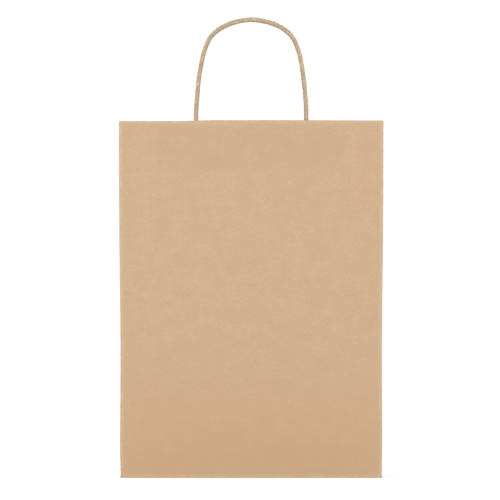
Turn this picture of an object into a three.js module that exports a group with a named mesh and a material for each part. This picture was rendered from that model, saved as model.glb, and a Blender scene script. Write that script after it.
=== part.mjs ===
// Kraft-paper gift bag with two twisted-paper handles, in millimetres.
//
// One sheet of paper makes the body: a front and a back panel, a side gusset folded in half on each
// side, and a block bottom of four glued flaps. Each panel between two creases is a mesh of its own,
// so that the bag can fold flat. Two twisted-paper cords are the handles: the ends of each are glued
// between two paper strips, the handle patch, inside the rim of one panel.
//
// Frame: origin at the centre of the base, +Z up, the front panel faces -Y.

import * as THREE from "three";

// Driving dimensions

const BAG_WIDTH = 220; // across the front panel
const BAG_HEIGHT = 300; // base to rim
const GUSSET_WIDTH = 110; // a side, pressed flat
const PAPER = 0.2; // body paper, about 150 g/m2
const REST_FOLD = 6; // degrees that each gusset half leans in when the bag stands open

const SEAM_WIDTH = 13; // glue flap down the back
const SEAM_INSET = 6; // from the side crease to the glue flap
const FLAP_OVERLAP = 20; // front bottom flap over the back one

const CORD_DIAMETER = 3.4;
const HANDLE_SPREAD = 93; // between the two legs of a handle
const HANDLE_HEIGHT = 85.5; // rim to the middle of the cord at the top of the arch
const HINGE_HEIGHT = 2; // rim to the place where the cord bends
const CORD_FOOT = 8; // lower edge of the patch to the cord end above it
const PATCH_WIDTH = 157;
const PATCH_HEIGHT = 36;
const PATCH_DROP = 4; // rim to the top edge of the patch
const PATCH_PAPER = 0.2;

// Right half of a handle, from the hinge to the top of the arch: [share of half the spread, share of
// the height above the hinge].
const HANDLE_ARCH = [
  [1, 0],
  [0.998, 0.084],
  [0.985, 0.198],
  [0.963, 0.347],
  [0.918, 0.521],
  [0.854, 0.683],
  [0.744, 0.822],
  [0.563, 0.913],
  [0.323, 0.972],
  [0, 1],
];

// Clearances

const GLUE = 0.05; // between two glued sheets
const CREASE = 0.3; // from the edge of a panel to its crease
const FOLD = 0.1; // from the face of a panel to the crease that it folds on
const CORD_CLEARANCE = 0.15; // round a cord inside its patch
const CORNER_TRIM = 3; // cut off the sharp corners that meet at the base

// Derived sizes

const FOLD_ANGLE = THREE.MathUtils.degToRad(REST_FOLD);
const HALF_WIDTH = BAG_WIDTH / 2;
const HALF_GUSSET = GUSSET_WIDTH / 2;
const CORD_RADIUS = CORD_DIAMETER / 2;

// A gusset half reaches from the side crease to the middle crease. The middle crease lies outside
// the paper, so that the two outer faces meet when the gusset folds.
const MIDDLE_CREASE_OFFSET = PAPER + FOLD;
const HALF_DEPTH =
  HALF_GUSSET * Math.cos(FOLD_ANGLE) + MIDDLE_CREASE_OFFSET * Math.sin(FOLD_ANGLE);
const INNER_FACE = HALF_DEPTH + FOLD; // inside of the front and back panels, from the middle
const SIDE_CREASE_X = HALF_WIDTH - PAPER;

const BOTTOM_LAYERS = 5;
const LAYER_STEP = PAPER + GLUE;
const FLOOR_TOP = BOTTOM_LAYERS * LAYER_STEP - GLUE;
const BOTTOM_CREASE = FLOOR_TOP + FOLD;
const FLAP_LENGTH = HALF_GUSSET + FLAP_OVERLAP / 2;

// Height where the gusset's three creases meet, and where the back panel folds up with the base.
const FOLD_UP_HEIGHT = BOTTOM_CREASE + HALF_GUSSET * Math.cos(FOLD_ANGLE);

const HINGE_Z = BAG_HEIGHT + HINGE_HEIGHT;
const PATCH_TOP = BAG_HEIGHT - PATCH_DROP;
const PATCH_BOTTOM = PATCH_TOP - PATCH_HEIGHT;
const CORD_END = PATCH_BOTTOM + CORD_FOOT;
const CHANNEL_DEPTH = CORD_DIAMETER + 2 * CORD_CLEARANCE;
const BACKING_FACE = GLUE; // from the panel's inner face to the backing strip
const COVER_FACE = BACKING_FACE + PATCH_PAPER + GLUE;
const CORD_OFFSET = COVER_FACE + CHANNEL_DEPTH / 2; // from the panel's inner face to the cord

// Materials

const paint = (hex) =>
  new THREE.MeshStandardMaterial({ color: hex, roughness: 0.85, metalness: 0 });
const KRAFT = paint(0xd3b291);
const PATCH = paint(0xcaa67f);
const CORD = paint(0xd6bd92);

const bag = new THREE.Group();

function addMesh(parent, name, geometry, material) {
  const mesh = new THREE.Mesh(geometry, material);
  mesh.name = name;
  parent.add(mesh);
  return mesh;
}

// A flat sheet with the given outline in X and Y, from z = 0 up to its thickness.
function sheet(outline, thickness) {
  const shape = new THREE.Shape(outline.map(([x, y]) => new THREE.Vector2(x, y)));
  return new THREE.ExtrudeGeometry(shape, { depth: thickness, bevelEnabled: false });
}

// A sheet that stands in the X and Z plane, with its thickness from y = 0 towards +Y.
function standingSheet(outline, thickness) {
  return sheet(outline, thickness)
    .rotateX(Math.PI / 2)
    .translate(0, thickness, 0);
}

const rectangle = (x0, y0, x1, y1) => [
  [x0, y0],
  [x1, y0],
  [x1, y1],
  [x0, y1],
];
const mirrored = (outline) => outline.map(([x, y]) => [-x, y]).reverse();

// Front and back panels. The back one is split where it folds up with the base.

function addPanels() {
  const front = addMesh(
    bag,
    "front_panel",
    standingSheet(rectangle(-HALF_WIDTH, 0, HALF_WIDTH, BAG_HEIGHT), PAPER),
    KRAFT,
  );
  front.position.y = -INNER_FACE - PAPER;

  const upper = rectangle(-HALF_WIDTH, FOLD_UP_HEIGHT + CREASE, HALF_WIDTH, BAG_HEIGHT);
  const lower = rectangle(-HALF_WIDTH, 0, HALF_WIDTH, FOLD_UP_HEIGHT - CREASE);
  for (const [name, outline] of [
    ["back_panel", upper],
    ["back_fold_up_panel", lower],
  ]) {
    addMesh(bag, name, standingSheet(outline, PAPER), KRAFT).position.y = INNER_FACE;
  }
}

// Glue flap of the sheet's far end, on the inside of the back panel along the right side.

function addSeam() {
  const outer = HALF_WIDTH - SEAM_INSET;
  const inner = outer - SEAM_WIDTH;
  const spans = [
    ["seam_flap", FOLD_UP_HEIGHT + CREASE, BAG_HEIGHT],
    ["seam_flap_lower", FLOOR_TOP + CORNER_TRIM, FOLD_UP_HEIGHT - CREASE],
  ];
  for (const [name, low, high] of spans) {
    const flap = addMesh(
      bag,
      name,
      standingSheet(rectangle(inner, low, outer, high), PAPER),
      KRAFT,
    );
    flap.position.y = INNER_FACE - GLUE - PAPER;
  }
}

// Gussets. Outlines run from the side crease (first number 0) to the middle crease, and up. A half
// is cut off along the slanting crease from the corner of the base to the middle. The rear half is
// also split where the back panel folds up with the base, which leaves a corner triangle.

const TO_MIDDLE = HALF_GUSSET - CREASE;
const SLANT = (FOLD_UP_HEIGHT - BOTTOM_CREASE) / HALF_GUSSET;
const SLANT_FOOT = BOTTOM_CREASE + 2 * CREASE; // the cut edge runs a little above its crease
const slantAt = (along) => SLANT_FOOT + SLANT * along;

function frontHalf() {
  return [
    [CREASE, slantAt(CORNER_TRIM)],
    [CORNER_TRIM, slantAt(CORNER_TRIM)],
    [TO_MIDDLE, slantAt(TO_MIDDLE)],
    [TO_MIDDLE, BAG_HEIGHT],
    [CREASE, BAG_HEIGHT],
  ];
}

function rearCorner() {
  const top = FOLD_UP_HEIGHT - CREASE;
  return [
    [CREASE, slantAt(CORNER_TRIM)],
    [CORNER_TRIM, slantAt(CORNER_TRIM)],
    [(top - SLANT_FOOT) / SLANT, top],
    [CREASE, top],
  ];
}

function addGussetPiece(name, side, end, outline) {
  const crease = new THREE.Group();
  crease.position.set(side * SIDE_CREASE_X, end * HALF_DEPTH, 0);
  crease.rotation.z = -side * end * FOLD_ANGLE;
  bag.add(crease);
  const turned = side * end < 0 ? mirrored(outline) : outline;
  const piece = standingSheet(turned, PAPER).rotateZ((-side * Math.PI) / 2);
  addMesh(crease, name, piece, KRAFT);
}

function addGussets() {
  const rearHalf = rectangle(CREASE, FOLD_UP_HEIGHT + CREASE, TO_MIDDLE, BAG_HEIGHT);
  for (const [side, name] of [
    [-1, "left"],
    [1, "right"],
  ]) {
    addGussetPiece(`${name}_gusset_front`, side, -1, frontHalf());
    addGussetPiece(`${name}_gusset_rear`, side, 1, rearHalf);
    addGussetPiece(`${name}_rear_corner`, side, 1, rearCorner());
  }
}

// Block bottom, from the outside in: front flap, its webs, back flap, its webs, side flaps.

const layer = (n) => n * LAYER_STEP;
const FLAP_EDGE = INNER_FACE - CREASE; // front and back edges of the flaps

function addBottomFlap(name, end, level) {
  const tip = HALF_WIDTH - FLAP_LENGTH;
  const outline = [
    [-HALF_WIDTH, -FLAP_EDGE],
    [HALF_WIDTH, -FLAP_EDGE],
    [tip, -FLAP_EDGE + FLAP_LENGTH],
    [-tip, -FLAP_EDGE + FLAP_LENGTH],
  ];
  const flap = addMesh(bag, name, sheet(outline, PAPER), KRAFT);
  flap.position.z = layer(level);
  flap.rotation.z = end < 0 ? 0 : Math.PI;
}

// A web is the corner of the sheet that is folded under the slanting end of a flap.
function addWeb(name, end, side, level) {
  const corner = [HALF_WIDTH, -FLAP_EDGE];
  const outline = [
    corner,
    [HALF_WIDTH - FLAP_LENGTH, -FLAP_EDGE + FLAP_LENGTH],
    [HALF_WIDTH - FLAP_LENGTH, -FLAP_EDGE],
  ];
  const web = addMesh(
    bag,
    name,
    sheet(side * end < 0 ? outline : mirrored(outline), PAPER),
    KRAFT,
  );
  web.position.z = layer(level);
  web.rotation.z = end < 0 ? 0 : Math.PI;
}

function addBottom() {
  for (const [end, name, level] of [
    [-1, "front", 0],
    [1, "back", 2],
  ]) {
    addBottomFlap(`bottom_${name}_flap`, end, level);
    addWeb(`bottom_${name}_left_web`, end, -1, level + 1);
    addWeb(`bottom_${name}_right_web`, end, 1, level + 1);
  }
  const inner = HALF_WIDTH - FLAP_LENGTH;
  const side = rectangle(inner, -FLAP_EDGE, HALF_WIDTH, FLAP_EDGE);
  for (const [name, outline] of [
    ["bottom_left_flap", mirrored(side)],
    ["bottom_right_flap", side],
  ]) {
    addMesh(bag, name, sheet(outline, PAPER), KRAFT).position.z = layer(4);
  }
}

// The triangle at the foot of each gusset, which folds down flat on the base.

function addFootTriangles() {
  const reach = HALF_DEPTH - CORNER_TRIM;
  const slope = HALF_GUSSET / HALF_DEPTH;
  const heightAt = (along) => slope * (HALF_DEPTH - Math.abs(along)) - 2 * CREASE;
  const blunt = CORNER_TRIM / 2;
  const outline = [
    [-reach, CREASE],
    [reach, CREASE],
    [reach, heightAt(reach)],
    [blunt, heightAt(blunt)],
    [-blunt, heightAt(blunt)],
    [-reach, heightAt(reach)],
  ];
  for (const [side, name] of [
    [-1, "left_foot_triangle"],
    [1, "right_foot_triangle"],
  ]) {
    const crease = new THREE.Group();
    crease.position.set(side * SIDE_CREASE_X, 0, BOTTOM_CREASE);
    crease.rotation.set(0, -side * FOLD_ANGLE, 0);
    bag.add(crease);
    const triangle = standingSheet(outline, PAPER).rotateZ((-side * Math.PI) / 2);
    addMesh(crease, name, triangle, KRAFT);
  }
}

// Handles. Each loop turns about its hinge, just above the rim, where the cord bends.

function cordSection() {
  const sides = 10;
  const shape = new THREE.Shape();
  for (let i = 0; i < sides; i++) {
    const turn = (2 * Math.PI * i) / sides;
    shape[i ? "lineTo" : "moveTo"](
      CORD_RADIUS * Math.cos(turn),
      CORD_RADIUS * Math.sin(turn),
    );
  }
  return shape;
}

function cordLoop() {
  const rise = HANDLE_HEIGHT - HINGE_HEIGHT;
  const point = (out, up) =>
    new THREE.Vector3((out * HANDLE_SPREAD) / 2, 0, HINGE_Z + up * rise);
  const right = HANDLE_ARCH.map(([out, up]) => point(out, up));
  const left = HANDLE_ARCH.slice(0, -1)
    .reverse()
    .map(([out, up]) => point(-out, up));
  const path = new THREE.CatmullRomCurve3([...right, ...left], false, "centripetal");
  return new THREE.ExtrudeGeometry(cordSection(), { extrudePath: path, steps: 72 });
}

// The glued end of a cord: up through the patch to just under the hinge.
function cordEnd(x) {
  const top = HINGE_Z - CORD_RADIUS - CREASE;
  const length = top - CORD_END;
  return new THREE.CylinderGeometry(CORD_RADIUS, CORD_RADIUS, length, 10)
    .rotateX(Math.PI / 2)
    .translate(x, 0, CORD_END + length / 2);
}

// The cover strip, seen from above: flat, with a channel over each leg of the cord.
function coverOutline() {
  const wallSlope = Math.PI / 3;
  const crest = 0.7 * CORD_RADIUS; // half the width of the channel's flat crest
  const foot = crest + CHANNEL_DEPTH / Math.tan(wallSlope);
  const grow = PATCH_PAPER * Math.tan(wallSlope / 2);
  const face = (shift, lift) => {
    const line = [[-PATCH_WIDTH / 2, lift]];
    for (const leg of [-HANDLE_SPREAD / 2, HANDLE_SPREAD / 2]) {
      line.push([leg - foot - shift, lift]);
      line.push([leg - crest - shift, CHANNEL_DEPTH + lift]);
      line.push([leg + crest + shift, CHANNEL_DEPTH + lift]);
      line.push([leg + foot + shift, lift]);
    }
    line.push([PATCH_WIDTH / 2, lift]);
    return line;
  };
  return [...face(0, 0), ...face(grow, PATCH_PAPER).reverse()];
}

function addHandle(name) {
  const handle = new THREE.Group();
  handle.position.y = -INNER_FACE;
  const backing = standingSheet(
    rectangle(-PATCH_WIDTH / 2, PATCH_BOTTOM, PATCH_WIDTH / 2, PATCH_TOP),
    PATCH_PAPER,
  );
  addMesh(handle, `${name}_patch_backing`, backing, PATCH).position.y = BACKING_FACE;

  const cover = addMesh(
    handle,
    `${name}_patch_cover`,
    sheet(coverOutline(), PATCH_HEIGHT),
    PATCH,
  );
  cover.position.set(0, COVER_FACE, PATCH_BOTTOM);

  const cords = new THREE.Group();
  cords.position.y = CORD_OFFSET;
  handle.add(cords);
  addMesh(cords, `${name}_handle`, cordLoop(), CORD);
  addMesh(cords, `${name}_cord_end_1`, cordEnd(-HANDLE_SPREAD / 2), CORD);
  addMesh(cords, `${name}_cord_end_2`, cordEnd(HANDLE_SPREAD / 2), CORD);
  return handle;
}

addPanels();
addSeam();
addGussets();
addBottom();
addFootTriangles();
bag.add(addHandle("front"));
const backHandle = addHandle("back");
const turned = new THREE.Group();
turned.rotation.z = Math.PI;
turned.add(backHandle);
bag.add(turned);

export default bag;
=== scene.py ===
import math

import bpy
import numpy as np
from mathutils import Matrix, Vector


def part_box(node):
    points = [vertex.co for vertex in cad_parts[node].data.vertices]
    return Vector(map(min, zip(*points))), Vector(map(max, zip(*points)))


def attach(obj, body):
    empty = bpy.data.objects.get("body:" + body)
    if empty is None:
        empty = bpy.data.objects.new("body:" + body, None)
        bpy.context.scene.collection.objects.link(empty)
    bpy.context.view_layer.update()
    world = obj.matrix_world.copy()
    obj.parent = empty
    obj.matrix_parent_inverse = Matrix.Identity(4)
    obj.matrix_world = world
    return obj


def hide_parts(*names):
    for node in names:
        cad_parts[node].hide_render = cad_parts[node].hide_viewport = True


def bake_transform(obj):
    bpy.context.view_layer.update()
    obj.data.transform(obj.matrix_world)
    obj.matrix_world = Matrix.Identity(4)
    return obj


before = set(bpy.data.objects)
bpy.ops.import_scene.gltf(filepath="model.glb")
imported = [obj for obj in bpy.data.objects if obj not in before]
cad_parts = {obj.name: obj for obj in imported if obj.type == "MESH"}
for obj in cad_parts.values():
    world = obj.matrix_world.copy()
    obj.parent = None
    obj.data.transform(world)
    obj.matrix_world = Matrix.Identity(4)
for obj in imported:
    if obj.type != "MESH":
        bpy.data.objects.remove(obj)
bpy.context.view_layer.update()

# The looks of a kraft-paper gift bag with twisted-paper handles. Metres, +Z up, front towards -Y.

MM = 0.001

# Places, read from the solids

front_low, front_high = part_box("front_panel")
back_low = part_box("back_panel")[0]
fold_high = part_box("back_fold_up_panel")[1]
gusset_low, gusset_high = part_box("left_gusset_front")
side_flap_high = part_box("bottom_left_flap")[1]
backing_low, backing_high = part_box("front_patch_backing")
cover_low, cover_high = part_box("front_patch_cover")
loop_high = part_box("front_handle")[1]
end_low, end_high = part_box("front_cord_end_2")
seam_low, seam_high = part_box("seam_flap")

PAPER = front_high.y - front_low.y
HALF_WIDTH = front_high.x
RIM = front_high.z
PANEL_Y = -(front_low.y + front_high.y) / 2  # middle of the paper of the front and back panels
GUSSET_LEAN = gusset_high.x - gusset_low.x - PAPER
FLOOR = side_flap_high.z  # top of the block bottom, inside the bag
FOLD_UP = (back_low.z + fold_high.z) / 2  # the crease over which the base folds up
CORD_Y = -(end_low.y + end_high.y) / 2
CORD_X = (end_low.x + end_high.x) / 2
CORD_DIAMETER = end_high.y - end_low.y
CORD_END = end_low.z
HINGE = RIM + 2 * MM  # where a handle bends when it falls over the rim
LOOP_TOP = loop_high.z - CORD_DIAMETER / 2  # middle of the cord at the top of the arch
MIDDLE_HEIGHT = 150 * MM  # where the lights aim

# How the paper lies

CREASE_RADIUS = 0.8 * MM
BOTTOM_CREASE_RADIUS = 0.9 * MM
PANEL_BOW = 1.3 * MM  # how far a large panel stands out in its middle
GUSSET_BOW = 0.5 * MM
RIPPLE = 0.22 * MM  # height of the slow unevenness of a large panel
RIM_RISE = 0.8 * MM  # how far the front rim stands up at its middle
FOLD_GROOVE = 0.35 * MM
FOLD_REACH = 0.6 * MM  # half the height over which the fold-up crease bends
SEAM_STEP = 0.16 * MM
SLANT_FOOT = FLOOR + 0.1 * MM  # where the slanting creases of the gussets start
SLANT_GAP = 0.06 * MM  # how far from the corner of the bag a foot triangle stops
CORNER_GAP = 0.04 * MM  # from the fold-up crease to a rear gusset half and to its corner triangle
PAINTED_FOOT_SHADE_REACH = 135 * MM  # the paper is painted a little darker from here down to the foot: painted shade for the lower part of the bag, which gets less light
WEAR_REACH = 1.1 * MM  # how far the rubbed look reaches from a crease or a cut edge

# Seeds for ripple. A strip that is glued to a panel has the panel's, so that it follows its shape.
FRONT_WAVES = 0.3
BACK_WAVES = 2.1
FRONT_HALF_WAVES = 0.9
REAR_HALF_WAVES = 1.7

# How far the side creases stand out from their straight line: [height, outward], in millimetres.
SIDE_DRIFT = [
    [0, -0.35],
    [14, 0.3],
    [36, 0.5],
    [70, 0],
    [123, 0],
    [150, 0.3],
    [190, 0.8],
    [230, 1.1],
    [300, 1.3],
]

# Right half of a handle, from the hinge to the top of the arch: [share of half the spread, share of
# the height above the hinge].
HANDLE_ARCH = [
    [1, 0],
    [0.998, 0.084],
    [0.985, 0.198],
    [0.963, 0.347],
    [0.918, 0.521],
    [0.854, 0.683],
    [0.744, 0.822],
    [0.563, 0.913],
    [0.323, 0.972],
    [0, 1],
]

# Crossing waves of uneven paper: (direction in radians, length in millimetres, height).
WAVES = [(0.4, 61, 0.5), (1.3, 37, 0.3), (2.3, 83, 0.5), (2.9, 23, 0.18)]


def smooth(value, start, end):
    """Eases from 0 at start to 1 at end."""
    t = np.clip((value - start) / (end - start), 0, 1)
    return t * t * (3 - 2 * t)


def ripple(x, y, seed):
    """Slow unevenness from the crossing waves, at most 1.5 either way."""
    total = 0
    for turn, length, size in WAVES:
        run = (x * math.cos(turn + seed) + y * math.sin(turn + seed)) / (length * MM)
        total = total + size * np.sin(2 * math.pi * run + seed * 5.1 + turn * 9)
    return total


# Camera

PICTURE_WIDTH = 420.1 * MM
PICTURE_MIDDLE = Vector((-1 * MM, front_low.y, 191.6 * MM))
LENS = 1000
SENSOR = 36


def add_camera():
    camera_data = bpy.data.cameras.new("camera")
    camera_data.lens = LENS
    camera_data.sensor_width = SENSOR
    camera_data.clip_start = 0.1
    camera_data.clip_end = 200
    camera = bpy.data.objects.new("camera", camera_data)
    bpy.context.collection.objects.link(camera)
    distance = PICTURE_WIDTH * LENS / SENSOR
    camera.location = (PICTURE_MIDDLE.x, PICTURE_MIDDLE.y - distance, RIM)
    sight = PICTURE_MIDDLE - camera.location
    camera.rotation_mode = "QUATERNION"
    camera.rotation_quaternion = sight.to_track_quat("-Z", "Y")
    bpy.context.scene.camera = camera


# Meshes


def new_piece(name, points, faces, material):
    mesh = bpy.data.meshes.new(name)
    mesh.from_pydata([tuple(p) for p in points], [], faces)
    mesh.materials.append(material)
    mesh.update()
    mesh.shade_smooth()
    mesh.set_sharp_from_angle(angle=math.radians(50))
    piece = bpy.data.objects.new(name, mesh)
    bpy.context.collection.objects.link(piece)
    return piece


def corner_points(mesh):
    """The number of the point that each face corner is on."""
    corner = np.zeros(len(mesh.loops), np.int32)
    mesh.loops.foreach_get("vertex_index", corner)
    return corner


def set_uv(mesh, uv):
    """Lays the paper on the mesh. uv has one row for each face corner."""
    layer = mesh.uv_layers.new(name="sheet")
    layer.data.foreach_set("uv", uv.astype(np.float32).ravel())


def set_mask(mesh, name, values):
    mask = mesh.attributes.new(name, "FLOAT", "POINT")
    mask.data.foreach_set("value", np.asarray(values, np.float32))


def run_lengths(points, axis):
    """How far each grid point is from the first one of its row or column, measured on the sheet."""
    steps = np.linalg.norm(np.diff(points, axis=axis), axis=2)
    start = np.zeros_like(steps.take([0], axis=axis))
    return np.concatenate([start, np.cumsum(steps, axis=axis)], axis=axis)


def paper_sheet(name, points, material, worn, cut=(0, 0), glued=None):
    """A sheet of paper whose middle surface is a grid of points, as rows up and columns across.

    worn names the rubbed borders: l, r, b and t, for left, right, bottom and top. cut is where on
    the uncut paper the sheet starts, so that sheets don't all have the same fibres. glued is a mask
    of where a strip is glued behind the sheet.
    """
    points = np.asarray(points, float)
    rows, columns = points.shape[:2]
    across = np.gradient(points, axis=1)
    up = np.gradient(points, axis=0)
    normal = np.cross(across, up)
    normal /= np.linalg.norm(normal, axis=2)[:, :, None]
    both = np.concatenate([points + normal * PAPER / 2, points - normal * PAPER / 2])
    count = rows * columns
    number = np.arange(count).reshape(rows, columns)
    faces = []
    for i in range(rows - 1):
        for j in range(columns - 1):
            quad = [number[i, j], number[i, j + 1], number[i + 1, j + 1], number[i + 1, j]]
            faces.append(quad)
            faces.append([k + count for k in reversed(quad)])
    border = [
        *number[0, :],
        *number[1:, -1],
        *number[-1, -2::-1],
        *number[-2:0:-1, 0],
    ]
    for here, there in zip(border, border[1:] + border[:1]):
        faces.append([here, here + count, there + count, there])
    faces = [[int(k) for k in face] for face in faces]
    piece = new_piece(name, both.reshape(-1, 3), faces, material)

    u, v = run_lengths(points, 1), run_lengths(points, 0)
    sheet_uv = np.stack([u + cut[0], v + cut[1]], axis=2).reshape(-1, 2)
    both_uv = np.concatenate([sheet_uv, sheet_uv + [0.37, 0.61]])
    set_uv(piece.data, both_uv[corner_points(piece.data)])
    # Painted shade: a mask that is 1 at the foot and fades out at the reach height, for the lower
    # part of the bag getting less light.
    foot = 1 - smooth(points[:, :, 2], 0, PAINTED_FOOT_SHADE_REACH)
    set_mask(piece.data, "foot", np.concatenate([foot.ravel()] * 2))
    far = np.full((rows, columns), 1.0)
    borders = {"l": u, "r": u[:, -1:] - u, "b": v, "t": v[-1:, :] - v}
    for side in worn:
        far = np.minimum(far, borders[side])
    wear = np.exp(-((far / WEAR_REACH) ** 1.3))
    set_mask(piece.data, "wear", np.concatenate([wear.ravel()] * 2))
    if glued is not None:
        set_mask(piece.data, "glued", np.concatenate([glued.ravel()] * 2))
    return piece


# Shader groups


class Nodes:
    """A node tree being wired up. Places nodes and links their sockets."""

    def __init__(self, tree):
        self.tree = tree

    def add(self, kind, values=None, **settings):
        node = self.tree.nodes.new(kind)
        for key, value in settings.items():
            setattr(node, key, value)
        for socket, value in (values or {}).items():
            if isinstance(value, bpy.types.NodeSocket):
                self.tree.links.new(value, node.inputs[socket])
            else:
                node.inputs[socket].default_value = value
        return node

    def math(self, operation, a, b=0.0, clamp=False):
        node = self.add("ShaderNodeMath", {0: a, 1: b}, operation=operation, use_clamp=clamp)
        return node.outputs[0]

    def mix(self, factor, a, b):
        node = self.add("ShaderNodeMix", data_type="RGBA")
        for socket, value in ((0, factor), (6, a), (7, b)):
            if isinstance(value, bpy.types.NodeSocket):
                self.tree.links.new(value, node.inputs[socket])
            else:
                node.inputs[socket].default_value = value
        return node.outputs[2]

    def ramp(self, value, low, high):
        node = self.add(
            "ShaderNodeMapRange",
            {"Value": value, "From Min": low, "From Max": high},
            interpolation_type="SMOOTHSTEP",
        )
        return node.outputs[0]


def new_group(name, inputs, outputs):
    """A shader group with the named sockets. Returns its nodes, its input and its output node."""
    tree = bpy.data.node_groups.new(name, "ShaderNodeTree")
    for label, kind, value in inputs:
        socket = tree.interface.new_socket(label, in_out="INPUT", socket_type=kind)
        if value is not None:
            socket.default_value = value
    for label, kind in outputs:
        tree.interface.new_socket(label, in_out="OUTPUT", socket_type=kind)
    nodes = Nodes(tree)
    return nodes, nodes.add("NodeGroupInput"), nodes.add("NodeGroupOutput")


def paper_fibres_group():
    """Pulp fibres that lie mostly up the sheet, specks, and cloudy formation."""
    nodes, given, result = new_group(
        "paper fibres",
        [
            ("Vector", "NodeSocketVector", None),
            ("Length", "NodeSocketFloat", 9.0),
            ("Fineness", "NodeSocketFloat", 3600.0),
        ],
        [
            ("Fibres", "NodeSocketFloat"),
            ("Cloud", "NodeSocketFloat"),
            ("Specks", "NodeSocketFloat"),
            ("Height", "NodeSocketFloat"),
        ],
    )
    bend = nodes.add("ShaderNodeTexNoise", {"Vector": given.outputs["Vector"], "Scale": 210.0})
    bent = nodes.add(
        "ShaderNodeVectorMath",
        {0: bend.outputs["Color"], 1: (0.0022, 0.0022, 0.0)},
        operation="MULTIPLY",
    )
    moved = nodes.add(
        "ShaderNodeVectorMath",
        {0: given.outputs["Vector"], 1: bent.outputs[0]},
        operation="ADD",
    )
    parts = nodes.add("ShaderNodeSeparateXYZ", {0: moved.outputs[0]})
    layers = []
    for turn, share in ((0.05, 1.0), (0.62, 0.8), (-0.7, 0.8)):
        turned = nodes.add(
            "ShaderNodeVectorRotate",
            {"Vector": moved.outputs[0], "Angle": turn},
            rotation_type="Z_AXIS",
        )
        apart = nodes.add("ShaderNodeSeparateXYZ", {0: turned.outputs[0]})
        along = nodes.math("DIVIDE", apart.outputs["Y"], given.outputs["Length"])
        drawn = nodes.add("ShaderNodeCombineXYZ", {0: apart.outputs["X"], 1: along, 2: turn})
        strands = nodes.add(
            "ShaderNodeTexNoise",
            {
                "Vector": drawn.outputs[0],
                "Scale": given.outputs["Fineness"],
                "Detail": 3.0,
                "Roughness": 0.6,
            },
        )
        layers.append(nodes.math("MULTIPLY", strands.outputs["Fac"], share))
    fibres = nodes.math("ADD", nodes.math("ADD", layers[0], layers[1]), layers[2])
    fibres = nodes.math("DIVIDE", fibres, 2.6)
    cloud = nodes.add(
        "ShaderNodeTexNoise",
        {"Vector": given.outputs["Vector"], "Scale": 70.0, "Detail": 6.0, "Roughness": 0.62},
    )
    speck_fine = nodes.math("DIVIDE", parts.outputs["Y"], 2.4)
    speck_place = nodes.add("ShaderNodeCombineXYZ", {0: parts.outputs["X"], 1: speck_fine})
    speck_cells = nodes.add(
        "ShaderNodeTexVoronoi",
        {"Vector": speck_place.outputs[0], "Scale": 520.0, "Randomness": 1.0},
    )
    speck_shape = nodes.ramp(speck_cells.outputs["Distance"], 0.16, 0.05)
    speck_pick = nodes.add("ShaderNodeSeparateColor", {0: speck_cells.outputs["Color"]})
    chosen = nodes.ramp(speck_pick.outputs["Red"], 0.70, 0.80)
    specks = nodes.math("MULTIPLY", speck_shape, chosen)
    height = nodes.math("ADD", fibres, nodes.math("MULTIPLY", cloud.outputs["Fac"], 0.5))
    nodes.tree.links.new(nodes.ramp(fibres, 0.38, 0.62), result.inputs["Fibres"])
    nodes.tree.links.new(nodes.ramp(cloud.outputs["Fac"], 0.34, 0.66), result.inputs["Cloud"])
    nodes.tree.links.new(specks, result.inputs["Specks"])
    nodes.tree.links.new(height, result.inputs["Height"])
    return nodes.tree


def rubbed_edge_group():
    """Where a crease or a cut edge is rubbed: the wear mask, broken up by fibres and clouds."""
    nodes, given, result = new_group(
        "rubbed edge",
        [
            ("Wear", "NodeSocketFloat", 0.0),
            ("Fibres", "NodeSocketFloat", 0.5),
            ("Cloud", "NodeSocketFloat", 0.5),
        ],
        [("Mask", "NodeSocketFloat")],
    )
    broken = nodes.math("MULTIPLY", given.outputs["Fibres"], given.outputs["Cloud"])
    lifted = nodes.math("ADD", nodes.math("MULTIPLY", broken, 1.9), 0.16)
    mask = nodes.math("MULTIPLY", given.outputs["Wear"], lifted, clamp=True)
    nodes.tree.links.new(mask, result.inputs["Mask"])
    return nodes.tree


def group_node(nodes, tree, values):
    node = nodes.add("ShaderNodeGroup", node_tree=tree)
    for socket, value in values.items():
        if isinstance(value, bpy.types.NodeSocket):
            nodes.tree.links.new(value, node.inputs[socket])
        else:
            node.inputs[socket].default_value = value
    return node


FIBRES = paper_fibres_group()
RUBBED = rubbed_edge_group()


def new_material(name):
    material = bpy.data.materials.new(name)
    material.use_nodes = True
    nodes = Nodes(material.node_tree)
    return material, nodes, material.node_tree.nodes["Principled BSDF"]


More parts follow.
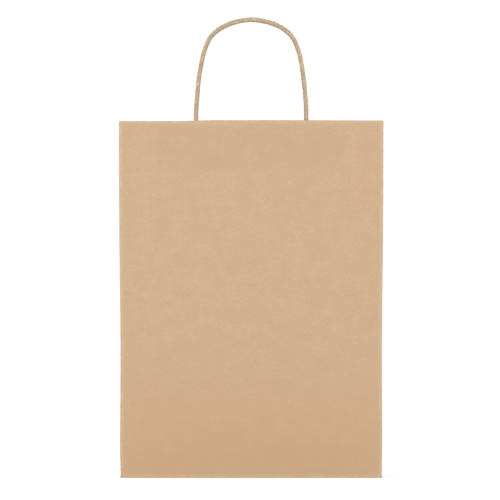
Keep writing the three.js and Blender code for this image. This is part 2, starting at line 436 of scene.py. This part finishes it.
def kraft_material(name, paper, shade, painted_foot_shade, fleck, glue_shade=0.0):
    """Uncoated kraft paper. paper and shade are its lighter and darker tone. The tone mixed in
    towards the foot is painted shade.
    """
    material, nodes, skin = new_material(name)
    place = nodes.add("ShaderNodeUVMap", uv_map="sheet")
    fibres = group_node(nodes, FIBRES, {"Vector": place.outputs["UV"]})
    wear = nodes.add("ShaderNodeAttribute", attribute_name="wear")
    rubbed = group_node(
        nodes,
        RUBBED,
        {
            "Wear": wear.outputs["Fac"],
            "Fibres": fibres.outputs["Fibres"],
            "Cloud": fibres.outputs["Cloud"],
        },
    )
    tone = nodes.mix(fibres.outputs["Fibres"], shade, paper)
    clouded = nodes.math("MULTIPLY", fibres.outputs["Cloud"], 0.36)
    tone = nodes.mix(clouded, tone, shade)
    tone = nodes.mix(nodes.math("MULTIPLY", fibres.outputs["Specks"], 0.5), tone, fleck)
    # Painted shade: towards the foot the paper is mixed with a darker, warmer tone, for the lower
    # part of the bag getting less light.
    foot = nodes.add("ShaderNodeAttribute", attribute_name="foot")
    tone = nodes.mix(nodes.math("MULTIPLY", foot.outputs["Fac"], 0.60), tone, painted_foot_shade)
    if glue_shade:
        # The paper is a little darker where the handle patch is glued behind it.
        glued = nodes.add("ShaderNodeAttribute", attribute_name="glued")
        tone = nodes.mix(nodes.math("MULTIPLY", glued.outputs["Fac"], glue_shade), tone, shade)
    pale = [1 - (1 - c) * 0.72 for c in paper[:3]] + [1]
    tone = nodes.mix(nodes.math("MULTIPLY", rubbed.outputs["Mask"], 0.34), tone, pale)
    nodes.tree.links.new(tone, skin.inputs["Base Color"])
    rough = nodes.math("ADD", nodes.math("MULTIPLY", fibres.outputs["Fibres"], 0.16), 0.68)
    nodes.tree.links.new(rough, skin.inputs["Roughness"])
    skin.inputs["Specular IOR Level"].default_value = 0.28
    skin.inputs["Sheen Weight"].default_value = 0.06
    bump = nodes.add(
        "ShaderNodeBump",
        {"Height": fibres.outputs["Height"], "Strength": 0.35, "Distance": 0.00012},
    )
    nodes.tree.links.new(bump.outputs["Normal"], skin.inputs["Normal"])
    return material


def twisted_material(name, pale, pink, dark, groove):
    """Kraft paper twisted into a cord, with painted shade in the grooves between the strands. u
    runs round the cord once, and v counts its turns.
    """
    material, nodes, skin = new_material(name)
    place = nodes.add("ShaderNodeUVMap", uv_map="sheet")
    parts = nodes.add("ShaderNodeSeparateXYZ", {0: place.outputs["UV"]})
    turn = nodes.math("SUBTRACT", parts.outputs["X"], parts.outputs["Y"])
    angle = nodes.math("MULTIPLY", turn, 2 * math.pi)
    fold = nodes.math("ABSOLUTE", nodes.math("SINE", angle))
    seam = nodes.ramp(fold, 0.30, 0.02)
    strand = nodes.ramp(nodes.math("SINE", angle), -0.1, 0.1)
    thin = nodes.math("MULTIPLY", nodes.math("SINE", nodes.math("MULTIPLY", angle, 5.0)), 0.5)
    thin = nodes.math("ADD", thin, 0.5)
    around = nodes.math("SINE", nodes.math("MULTIPLY", parts.outputs["X"], 2 * math.pi))
    other = nodes.math("COSINE", nodes.math("MULTIPLY", parts.outputs["X"], 2 * math.pi))
    surface = nodes.add("ShaderNodeCombineXYZ", {0: around, 1: other, 2: parts.outputs["Y"]})
    patches = nodes.add(
        "ShaderNodeTexNoise",
        {"Vector": surface.outputs[0], "Scale": 1.1, "Detail": 3.0},
    )
    lines = nodes.add("ShaderNodeCombineXYZ", {0: turn, 1: parts.outputs["Y"]})
    fibre = nodes.add(
        "ShaderNodeTexNoise",
        {"Vector": lines.outputs[0], "Scale": 26.0, "Detail": 3.0},
    )
    tone = nodes.mix(strand, pink, pale)
    tone = nodes.mix(nodes.ramp(patches.outputs["Fac"], 0.36, 0.72), dark, tone)
    tone = nodes.mix(nodes.math("MULTIPLY", fibre.outputs["Fac"], 0.35), tone, dark)
    # Painted shade: the groove between the two strands is darkened towards the groove colour, for
    # the shadow that falls there.
    tone = nodes.mix(nodes.math("MULTIPLY", seam, 0.6), tone, groove)
    tone = nodes.mix(nodes.math("MULTIPLY", thin, 0.12), tone, groove)
    nodes.tree.links.new(tone, skin.inputs["Base Color"])
    rough = nodes.math("ADD", nodes.math("MULTIPLY", patches.outputs["Fac"], 0.2), 0.58)
    nodes.tree.links.new(rough, skin.inputs["Roughness"])
    skin.inputs["Specular IOR Level"].default_value = 0.32
    height = nodes.math("ADD", nodes.math("MULTIPLY", thin, 0.4), fibre.outputs["Fac"])
    height = nodes.math("SUBTRACT", height, nodes.math("MULTIPLY", seam, 0.8))
    bump = nodes.add(
        "ShaderNodeBump", {"Height": height, "Strength": 0.5, "Distance": 0.00015}
    )
    nodes.tree.links.new(bump.outputs["Normal"], skin.inputs["Normal"])
    return material


KRAFT = kraft_material(
    "kraft paper",
    paper=(0.582, 0.404, 0.256, 1),
    shade=(0.480, 0.320, 0.188, 1),
    # The darker tone that the painted shade at the foot mixes in.
    painted_foot_shade=(0.506, 0.330, 0.186, 1),
    fleck=(0.290, 0.170, 0.090, 1),
    glue_shade=0.30,
)
PATCH = kraft_material(
    "patch paper",
    paper=(0.545, 0.375, 0.236, 1),
    shade=(0.430, 0.285, 0.168, 1),
    # The darker tone that the painted shade at the foot mixes in.
    painted_foot_shade=(0.460, 0.300, 0.172, 1),
    fleck=(0.260, 0.155, 0.085, 1),
)
TWISTED = twisted_material(
    "twisted paper",
    pale=(0.655, 0.545, 0.385, 1),
    pink=(0.570, 0.430, 0.318, 1),
    dark=(0.440, 0.333, 0.204, 1),
    # groove is the dark of the painted shade in the strand grooves, and also the colour of the fine
    # twist lines.
    groove=(0.240, 0.150, 0.068, 1),
)


# Cords. Each is one length of twisted paper, from its end in the patch, round the loop, and back.

TWIST_PITCH = 7.5 * MM
ARCH_LEAN = 0.4 * MM  # how far the top of the arch leans to the right
ARCH_SWAY = 0.9 * MM  # how far a loop wavers out of its plane
CORD_WAIST = 0.86  # radius in a groove between the strands, as a share of the cord's
CORD_BULGE = 0.15  # how much further out the back of a strand is
CORD_SIDES = 24
CORD_STEP = 0.75 * MM
HANDLE_ENDS = ((-1, "front", "front_panel"), (1, "back", "back_panel"))


def smooth_line(corners, step):
    """The centripetal Catmull-Rom curve through the corners.

    Returns points on it that are about a step apart, and its length.
    """
    corners = np.asarray(corners, float)
    first = 2 * corners[0] - corners[1]
    last = 2 * corners[-1] - corners[-2]
    full = np.vstack([first, corners, last])
    dense = []
    for p0, p1, p2, p3 in zip(full, full[1:], full[2:], full[3:]):
        gaps = [math.sqrt(np.linalg.norm(b - a)) for a, b in ((p0, p1), (p1, p2), (p2, p3))]
        t1, t2, t3 = np.cumsum(gaps)
        for t in np.linspace(t1, t2, 40, endpoint=False):
            a1 = p0 * (t1 - t) / t1 + p1 * t / t1
            a2 = p1 * (t2 - t) / (t2 - t1) + p2 * (t - t1) / (t2 - t1)
            a3 = p2 * (t3 - t) / (t3 - t2) + p3 * (t - t2) / (t3 - t2)
            b1 = a1 * (t2 - t) / t2 + a2 * t / t2
            b2 = a2 * (t3 - t) / (t3 - t1) + a3 * (t - t1) / (t3 - t1)
            dense.append(b1 * (t2 - t) / (t2 - t1) + b2 * (t - t1) / (t2 - t1))
    dense = np.array(dense + [corners[-1]])
    run = np.concatenate([[0], np.cumsum(np.linalg.norm(np.diff(dense, axis=0), axis=1))])
    places = np.linspace(0, run[-1], int(run[-1] / step) + 1)
    return np.stack([np.interp(places, run, dense[:, k]) for k in range(3)], axis=1), run[-1]


def cord_route(side):
    """The middle of a cord, from its right end in the patch, over the arch, to its left end."""
    y = side * CORD_Y
    sway = side * ARCH_SWAY
    rise = LOOP_TOP - HINGE
    right = [(CORD_X, y, CORD_END), (CORD_X, y, (CORD_END + HINGE) / 2)]
    right += [
        (out * CORD_X + ARCH_LEAN * up * up, y + sway * math.sin(3 * up), HINGE + up * rise)
        for out, up in HANDLE_ARCH
    ]
    left = [
        (-out * CORD_X + ARCH_LEAN * up * up, y + sway * math.sin(3 * up), HINGE + up * rise)
        for out, up in HANDLE_ARCH[:-1]
    ]
    left = [(-CORD_X, y, CORD_END), (-CORD_X, y, (CORD_END + HINGE) / 2)] + left
    return right + left[::-1]


def twisted_cord(name, line, side):
    """Two strands of paper twisted together, as one skin with a groove on each side of the cord."""
    count = len(line)
    ahead = np.gradient(line, axis=0)
    ahead /= np.linalg.norm(ahead, axis=1)[:, None]
    level = np.tile([0.0, -1.0, 0.0], (count, 1))
    level -= ahead * (level * ahead).sum(1)[:, None]
    level /= np.linalg.norm(level, axis=1)[:, None]
    across = np.cross(ahead, level)
    run = np.arange(count) * CORD_STEP
    around = np.linspace(0, 2 * math.pi, CORD_SIDES, endpoint=False)
    twist = 2 * math.pi * run / TWIST_PITCH
    lobes = np.abs(np.sin(around[None, :] - twist[:, None]))
    uneven = 0.03 * np.sin(run * 190 + side)[:, None] + 0.02 * np.sin(run * 523)[:, None]
    radius = CORD_DIAMETER / 2 * (CORD_WAIST + CORD_BULGE * lobes**0.7 + uneven)
    ring = (
        level[:, None, :] * np.cos(around)[None, :, None]
        + across[:, None, :] * np.sin(around)[None, :, None]
    )
    points = (line[:, None, :] + ring * radius[:, :, None]).reshape(-1, 3)
    faces = []
    for i in range(count - 1):
        for j in range(CORD_SIDES):
            k = (j + 1) % CORD_SIDES
            low, high = i * CORD_SIDES, (i + 1) * CORD_SIDES
            faces.append([low + j, high + j, high + k, low + k])
    faces.append(list(range(CORD_SIDES)))
    faces.append([(count - 1) * CORD_SIDES + j for j in reversed(range(CORD_SIDES))])
    cord = new_piece(name, points, faces, TWISTED)

    corner = corner_points(cord.data)
    u = (corner % CORD_SIDES) / CORD_SIDES
    v = run[corner // CORD_SIDES] / TWIST_PITCH
    # The faces that close the skin round the cord end at u = 1, not at 0.
    for face in cord.data.polygons:
        loops = list(face.loop_indices)
        if max(u[loops]) > 0.9 and min(u[loops]) == 0 and len(loops) == 4:
            for k in loops:
                if u[k] == 0:
                    u[k] = 1
    set_uv(cord.data, np.stack([u, v], axis=1))
    return cord


def add_cords():
    for side, end, panel in HANDLE_ENDS:
        line, length = smooth_line(cord_route(side), CORD_STEP)
        cord = twisted_cord(f"{end}_cord", line, side)
        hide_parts(f"{end}_handle", f"{end}_cord_end_1", f"{end}_cord_end_2")
        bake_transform(cord)


add_camera()
add_cords()


# Shape of the standing bag. Heights and places are arrays, so that a whole grid is made at once.


def side_crease(z):
    """How far out the side creases stand at a height."""
    table = np.array(SIDE_DRIFT) * MM
    heights = np.linspace(0, table[-1, 0], 121)
    drift = np.interp(heights, table[:, 0], table[:, 1])
    soft = np.convolve(np.pad(drift, 6, mode="edge"), np.ones(13) / 13, mode="valid")
    return HALF_WIDTH - PAPER / 2 + np.interp(z, heights, soft)


def panel_out(x, z, seed):
    """How far a front or back panel stands out from its plane."""
    share = np.clip(np.abs(x) / HALF_WIDTH, 0, 1)
    hold = smooth(1 - share, 0, 0.35)
    tall = z / RIM
    belly = np.sin(math.pi * np.clip(tall, 0, 1) ** 0.8) * (1 - smooth(tall, 0.8, 1.0))
    loose = hold * smooth(z, 0, 30 * MM)
    return PANEL_BOW * belly * (1 - share**2) + RIPPLE * loose * ripple(x, z, seed)


def gusset_out(share, z, seed):
    """How far a gusset half stands out from its plane."""
    hold = np.sin(math.pi * np.clip(share, 0, 1))
    hold = hold * (0.25 + 0.75 * smooth(z, FOLD_UP, FOLD_UP + 50 * MM))
    return GUSSET_BOW * hold * ripple(share * 0.055, z * 0.7, seed)


def rim_rise(x):
    """The front panel's cut edge is not quite straight."""
    return RIM_RISE * smooth(x, -70 * MM, -25 * MM) * (1 - 0.4 * smooth(x, 30 * MM, 105 * MM))


def spread(start, end, count):
    """Evenly spaced values, with both ends."""
    return np.linspace(start, end, count)


# Panels


def panel_grid(x, z, side, seed, extra=None):
    """Grid of a front (side -1) or back (side 1) panel. x and z are lists of shares and heights."""
    shares, heights = np.meshgrid(x, z)
    places = shares * (side_crease(heights) - CREASE_RADIUS)
    out = panel_out(places, heights, seed)
    if extra is not None:
        out = out + extra(places, heights)
    if side < 0:
        heights = heights + rim_rise(places) * smooth(heights, 0.9 * RIM, RIM)
    return np.stack([places, side * (PANEL_Y + out), heights], axis=2)


def glued_mask(points):
    """Where the handle patch is glued behind the paper. The paper is made a little darker there."""
    x, z = np.abs(points[:, :, 0]), points[:, :, 2]
    wide = smooth(x, backing_high.x + 2 * MM, backing_high.x - 2 * MM)
    tall = smooth(z, backing_low.z - 2 * MM, backing_low.z + 2 * MM)
    return wide * tall * smooth(z, backing_high.z + 1 * MM, backing_high.z - 1 * MM)


def fold_groove(z):
    """The crease over which the base folds up is pressed in a little."""
    return -FOLD_GROOVE * np.exp(-np.abs(z - FOLD_UP) / (2.2 * MM))


def back_relief(x, z):
    """The low step where the glue flap shows through the back panel, and the fold-up groove."""
    inner = smooth(x, seam_low.x - 1.2 * MM, seam_low.x + 0.6 * MM)
    outer = smooth(x, seam_high.x + 1.2 * MM, seam_high.x - 0.6 * MM)
    return SEAM_STEP * inner * outer + fold_groove(z)


def add_front_panel():
    z = spread(BOTTOM_CREASE_RADIUS, RIM, 91)
    points = panel_grid(spread(-1, 1, 81), z, -1, FRONT_WAVES)
    panel = paper_sheet("front_sheet", points, KRAFT, "lrbt", glued=glued_mask(points))
    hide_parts("front_panel")
    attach(panel, "front_panel")


def corner_arc(start, corner, end, steps=5):
    """Steps round a folded corner, up to but without the end, on a curve that is pulled to corner.

    start, corner and end are points, or whole lines of points.
    """
    return [
        (1 - t) ** 2 * start + 2 * t * (1 - t) * corner + t**2 * end
        for t in np.linspace(0, 1, steps, endpoint=False)
    ]


def add_back_panel():
    """The upper back panel, with the folded corner to the left rear gusset half."""
    z = np.concatenate(
        [spread(FOLD_UP + FOLD_REACH, FOLD_UP + 4 * MM, 6), spread(60 * MM, RIM, 75)]
    )
    shares = np.concatenate([spread(-1, 0.80, 70), spread(0.806, 1.0, 34)])
    body = panel_grid(shares, z, 1, BACK_WAVES, back_relief)
    rows = []
    for line in body:
        height = line[0, 2]
        crease = side_crease(height)
        corner = np.array([-crease, PANEL_Y, height])
        lean = GUSSET_LEAN / PANEL_Y
        start = corner + np.array([CREASE_RADIUS * lean, -CREASE_RADIUS, 0])
        turned = corner_arc(start, corner, line[0])
        last = np.array([[crease + PAPER / 2, line[-1, 1], height]])
        rows.append(np.vstack([turned, line, last]))
    points = np.array(rows)[:, ::-1, :]
    panel = paper_sheet(
        "back_sheet", points, KRAFT, "lrbt", cut=(0.33, 0), glued=glued_mask(points)
    )
    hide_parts("back_panel")
    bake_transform(panel)


def add_fold_up_panel():
    """The strip of the back panel that folds up with the base."""
    z = np.concatenate(
        [spread(BOTTOM_CREASE_RADIUS, 52 * MM, 22), spread(52.5 * MM, FOLD_UP + FOLD_REACH, 9)]
    )
    points = panel_grid(spread(-1, 1, 81), z, 1, BACK_WAVES, back_relief)
    reach = (side_crease(z) + PAPER / 2)[:, None]
    ends = np.stack([reach, points[:, -1:, 1], points[:, -1:, 2]], axis=2)
    points = np.concatenate([ends * [-1, 1, 1], points, ends], axis=1)[:, ::-1, :]
    strip = paper_sheet("back_fold_up_sheet", points, KRAFT, "lrbt", cut=(0.33, 0.4))
    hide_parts("back_fold_up_panel")
    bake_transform(strip)


def add_seam():
    """The glue flap inside the back panel, in its upper and its lower part."""
    for name, node, body in (
        ("seam_sheet", "seam_flap", "back_panel"),
        ("seam_lower_sheet", "seam_flap_lower", "back_fold_up_panel"),
    ):
        low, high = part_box(node)
        top = high.z if body == "back_panel" else high.z - 1.2 * MM
        x, z = np.meshgrid(spread(low.x, high.x, 8), spread(low.z, top, 60))
        out = panel_out(x, z, BACK_WAVES) + fold_groove(z)
        y = (low.y + high.y) / 2 + out
        points = np.stack([x, y, z], axis=2)
        flap = paper_sheet(name, points, KRAFT, "lr", cut=(0.7, 0.1))
        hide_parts(node)
        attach(flap, body)


# Gussets


def gusset_line(share, z, side, end, seed):
    """Points on a gusset half. share runs from the side crease (0) to the middle crease (1)."""
    crease = side_crease(z)
    x = crease - GUSSET_LEAN * share + gusset_out(share, z, seed)
    y = end * PANEL_Y * (1 - share)
    return np.stack(np.broadcast_arrays(side * x, y, z), axis=-1)


def slant(share):
    """Height of the slanting crease at the foot of a gusset."""
    return SLANT_FOOT + (FOLD_UP - SLANT_FOOT) * share


def add_front_half(side, name):
    """The front half of a gusset, with the folded corner to the front panel."""
    tip = CREASE_RADIUS / PANEL_Y
    shares = spread(tip, 1 - 0.6 * tip, 30)
    tall = spread(0, 1, 91)
    seed = FRONT_HALF_WAVES + side
    columns = []
    for share in shares:
        low = slant(share)
        z = low + (RIM - low) * tall
        columns.append(gusset_line(share, z, side, -1, seed))
    z = SLANT_FOOT + (RIM - SLANT_FOOT) * tall
    crease = side_crease(z)
    corner = np.stack([side * crease, np.full_like(z, -PANEL_Y), z], axis=1)
    start = corner + [-side * CREASE_RADIUS, 0, 0]
    points = np.stack(corner_arc(start, corner, columns[0]) + columns, axis=1)
    if side < 0:
        points = points[:, ::-1]
    half = paper_sheet(f"{name}_gusset_front_sheet", points, KRAFT, "lrbt", cut=(0.5 + side, 0))
    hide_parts(f"{name}_gusset_front")
    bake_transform(half)


def add_rear_half(side, name):
    """The rear half of a gusset above the fold-up crease, with the turn at the middle crease."""
    tip = CREASE_RADIUS / PANEL_Y
    last = tip if side < 0 else 0.45 * tip
    shares = spread(1 - 0.1 * tip, last, 30)
    z = np.concatenate([spread(FOLD_UP + CORNER_GAP, 60 * MM, 5), spread(64 * MM, RIM, 74)])
    seed = REAR_HALF_WAVES + side
    columns = [gusset_line(share, z, side, 1, seed) for share in shares]
    before = gusset_line(1 - 0.6 * tip, z, side, -1, FRONT_HALF_WAVES + side)
    middle = gusset_line(1, z, side, 1, seed)
    points = np.stack(corner_arc(before, middle, columns[0], 4) + columns, axis=1)
    if side < 0:
        points = points[:, ::-1]
    half = paper_sheet(f"{name}_gusset_rear_sheet", points, KRAFT, "lrbt", cut=(1.5 + side, 0.2))
    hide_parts(f"{name}_gusset_rear")
    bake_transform(half)


def add_rear_corner(side, name):
    """The corner triangle under a rear gusset half, from the back crease to the slanting crease."""
    tip = CREASE_RADIUS / PANEL_Y
    shares = np.append(spread(0.7 * tip, 0.985, 26), 0.998)
    tall = spread(0, 1, 26)
    columns = []
    for share in shares:
        low = slant(share)
        z = low + (FOLD_UP - CORNER_GAP - low) * tall
        columns.append(gusset_line(share, z, side, 1, REAR_HALF_WAVES + side))
    points = np.stack(columns, axis=1)
    if side > 0:
        points = points[:, ::-1]
    corner = paper_sheet(
        f"{name}_rear_corner_sheet", points, KRAFT, "lrbt", cut=(2.2 + side, 0.5)
    )
    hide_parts(f"{name}_rear_corner")
    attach(corner, f"{name}_rear_corner")


def add_foot_triangle(side, name):
    """The triangle that folds flat on the base, with its rounded crease to the base."""
    levels = np.concatenate([spread(0, 0.04, 6), spread(0.06, 0.985, 34), [0.998]])
    rows = []
    for level in levels:
        z = SLANT_FOOT + (FOLD_UP - SLANT_FOOT) * level
        reach = (PANEL_Y - SLANT_GAP) * (1 - level)
        y = spread(-reach, reach, 41)
        across = spread(0, 1, 41)
        out = gusset_out(level, z, FRONT_HALF_WAVES + side) * (1 - across)
        out = out + gusset_out(level, z, REAR_HALF_WAVES + side) * across
        x = side_crease(z) - GUSSET_LEAN * level + out
        rows.append(np.stack([side * x, y, np.full_like(y, z)], axis=1))
    foot = rows[0].copy()
    down = []
    for t in np.linspace(1, 0, 5)[:-1]:
        row = foot.copy()
        row[:, 0] -= side * BOTTOM_CREASE_RADIUS * t**2
        row[:, 2] -= BOTTOM_CREASE_RADIUS * (1 - (1 - t) ** 2)
        down.append(row)
    points = np.array(down + rows)
    if side < 0:
        points = points[:, ::-1]
    triangle = paper_sheet(
        f"{name}_foot_triangle_sheet", points, KRAFT, "lrbt", cut=(3.1 + side, 0.3)
    )
    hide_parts(f"{name}_foot_triangle")
    x = side * side_crease(SLANT_FOOT)
    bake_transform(triangle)


# Block bottom

FLAP_ROWS = 26
FLAP_COLUMNS = 61
WEB_COLUMNS = 20
CREASE_INSET = 1 * MM  # how far from the side of the bag the crease of a flap ends


def flap_rows(crease, free, tip):
    """A flap that gets narrower from its crease to its free edge, where it reaches tip."""
    rows = []
    for t in spread(0, 1, FLAP_ROWS):
        half = HALF_WIDTH - CREASE_INSET + (tip - HALF_WIDTH + CREASE_INSET) * t
        y = crease + (free - crease) * t
        x = spread(-half, half, FLAP_COLUMNS)
        rows.append(np.stack([x, np.full_like(x, y)], axis=1))
    return np.array(rows)


def add_bottom():
    for end, node in ((-1, "bottom_front_flap"), (1, "bottom_back_flap")):
        low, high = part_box(node)
        level = (low.z + high.z) / 2
        depth = high.y - low.y
        crease = end * (PANEL_Y - BOTTOM_CREASE_RADIUS)
        free = high.y if end < 0 else low.y
        flat = flap_rows(crease, free, HALF_WIDTH - depth)
        flat = np.concatenate([flat, np.full(flat.shape[:2] + (1,), level)], axis=2)
        top = flat[0].copy()
        top[:, 1] = end * PANEL_Y
        top[:, 2] = BOTTOM_CREASE_RADIUS
        drop = BOTTOM_CREASE_RADIUS - level
        arc = []
        for t in np.linspace(0, 1, 7)[:-1]:
            row = top.copy()
            row[:, 1] = end * (PANEL_Y - BOTTOM_CREASE_RADIUS * t**2)
            row[:, 2] = BOTTOM_CREASE_RADIUS - drop * (1 - (1 - t) ** 2)
            arc.append(row)
        points = np.array(arc + list(flat))
        if end > 0:
            points = points[:, ::-1]
        flap = paper_sheet(f"{node}_sheet", points, KRAFT, "lrbt", cut=(4 + end, 0.2))
        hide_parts(node)
        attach(flap, "base")
    for node in (
        "bottom_front_left_web",
        "bottom_front_right_web",
        "bottom_back_left_web",
        "bottom_back_right_web",
    ):
        add_web(node)
    for number, node in enumerate(("bottom_left_flap", "bottom_right_flap")):
        low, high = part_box(node)
        x, y = np.meshgrid(spread(low.x, high.x, 40), spread(low.y, high.y, 50))
        z = (low.z + high.z) / 2 + 0.02 * MM * ripple(x, y, number + 1.0)
        flap = paper_sheet(
            f"{node}_sheet", np.stack([x, y, z], axis=2), KRAFT, "lrbt", cut=(5 + number, 0.7)
        )
        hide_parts(node)
        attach(flap, "base")


def add_web(node):
    """A triangle on the crease of its flap, with its right angle at the end nearer the middle."""
    low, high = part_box(node)
    side = 1 if low.x > 0 else -1
    end = -1 if "front" in node else 1
    level = (low.z + high.z) / 2
    size = high.x - low.x
    inner = side * min(abs(low.x), abs(high.x))
    edge = low.y if end < 0 else high.y
    rows = []
    for t in spread(0.01, 1, 26):
        reach = size * t
        x = spread(inner, inner + side * reach, WEB_COLUMNS)
        y = edge - end * size * (1 - t)
        rows.append(np.stack([x, np.full_like(x, y), np.full_like(x, level)], axis=1))
    points = np.array(rows)
    if side * end > 0:
        points = points[:, ::-1]
    web = paper_sheet(f"{node}_sheet", points, KRAFT, "lrb", cut=(6 + side, 0.5 + end))
    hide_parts(node)
    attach(web, "base")


# Handle patches: a backing strip, and a cover strip that is drawn over the cord ends.


COVER_PUCKER = 0.02  # how unevenly the cover strip lies over a cord end
NEAR_CORD = 5.2 * MM  # the cover strip has closer columns up to here beside a cord
PATCH_UNEVEN = 0.02 * MM


def cord_cover(x, z):
    """How far the cover strip stands off where it lies over a cord end."""
    beside = np.minimum(np.abs(x - CORD_X), np.abs(x + CORD_X))
    full = cover_high.y - cover_low.y - PAPER
    over = full * (1 - smooth(beside, 1.2 * MM, 3.6 * MM))
    pucker = 1 + COVER_PUCKER * np.sin(z * 610 + 3 * np.sign(x))
    below = smooth(z, cover_low.z + 1.5 * MM, CORD_END - 0.5 * MM)
    return over * below * pucker / (1 + COVER_PUCKER)


def add_patches():
    for side, end, panel in HANDLE_ENDS:
        seed = FRONT_WAVES if side < 0 else BACK_WAVES
        for kind, low, high in (
            ("backing", backing_low, backing_high),
            ("cover", cover_low, cover_high),
        ):
            across = spread(low.x, high.x, 25)
            if kind == "cover":
                near = spread(-NEAR_CORD, NEAR_CORD, 27)
                flat = spread(low.x, high.x, 33)
                away = np.abs(np.abs(flat) - CORD_X) > 6 * MM
                across = np.sort(np.concatenate([flat[away], near - CORD_X, near + CORD_X]))
            x, z = np.meshgrid(across, spread(low.z, high.z, 31))
            depth = panel_out(x, z, seed) - low.y - PAPER / 2
            if kind == "cover":
                depth = depth - cord_cover(x, z)
            depth = depth - PATCH_UNEVEN * ripple(x, z, 4.4)
            points = np.stack([x, side * depth, z], axis=2)
            if side > 0:
                points = points[:, ::-1]
            strip = paper_sheet(
                f"{end}_patch_{kind}_sheet", points, PATCH, "lrbt", cut=(7 + side, 0.9)
            )
            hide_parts(f"{end}_patch_{kind}")
            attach(strip, panel)


add_front_panel()
add_back_panel()
add_fold_up_panel()
add_seam()
for side, name in ((-1, "left"), (1, "right")):
    add_front_half(side, name)
    add_rear_half(side, name)
    add_rear_corner(side, name)
    add_foot_triangle(side, name)
add_bottom()
add_patches()


# Stage

ROOM_LIGHT = 0.8  # how strongly the white room lights the bag
BACKDROP = 1.05  # how bright the room is where it is seen
FLOOR_GLOW = 0.3  # lifts the floor to the white of the backdrop
FLOOR_REACH = 60
FLOOR_DROP = 0.05 * MM


def add_floor():
    """A large white floor, just under the bag."""
    material, _, skin = new_material("floor")
    skin.inputs["Base Color"].default_value = (0.93, 0.93, 0.93, 1)
    skin.inputs["Roughness"].default_value = 0.9
    skin.inputs["Specular IOR Level"].default_value = 0.1
    skin.inputs["Emission Color"].default_value = (1, 1, 1, 1)
    skin.inputs["Emission Strength"].default_value = FLOOR_GLOW
    corners = [(-1, -1), (1, -1), (1, 1), (-1, 1)]
    points = [(x * FLOOR_REACH, y * FLOOR_REACH, -FLOOR_DROP) for x, y in corners]
    floor = new_piece("floor", points, [[0, 1, 2, 3]], material)


def add_light(name, place, size, power):
    data = bpy.data.lights.new(name, "AREA")
    data.shape = "DISK"
    data.size = size
    data.energy = power
    light = bpy.data.objects.new(name, data)
    bpy.context.collection.objects.link(light)
    light.location = place
    aim = Vector((0, 0, MIDDLE_HEIGHT)) - light.location
    light.rotation_mode = "QUATERNION"
    light.rotation_quaternion = aim.to_track_quat("-Z", "Y")


def add_world():
    """A white room. The light it gives is weaker than the white that is seen behind the bag."""
    world = bpy.data.worlds.new("studio")
    bpy.context.scene.world = world
    world.use_nodes = True
    nodes = Nodes(world.node_tree)
    background = world.node_tree.nodes["Background"]
    seen = nodes.add("ShaderNodeLightPath").outputs["Is Camera Ray"]
    strength = nodes.math("ADD", nodes.math("MULTIPLY", seen, BACKDROP - ROOM_LIGHT), ROOM_LIGHT)
    background.inputs["Color"].default_value = (1, 1, 1, 1)
    nodes.tree.links.new(strength, background.inputs["Strength"])


bpy.context.scene.view_settings.view_transform = "Standard"
add_floor()
add_light("key", (-0.9, -1.5, 1.7), 1.0, 13)
add_light("fill", (1.6, -1.2, 1.0), 1.6, 4)
add_light("back", (0.3, 1.9, 1.6), 1.6, 8)
add_world()
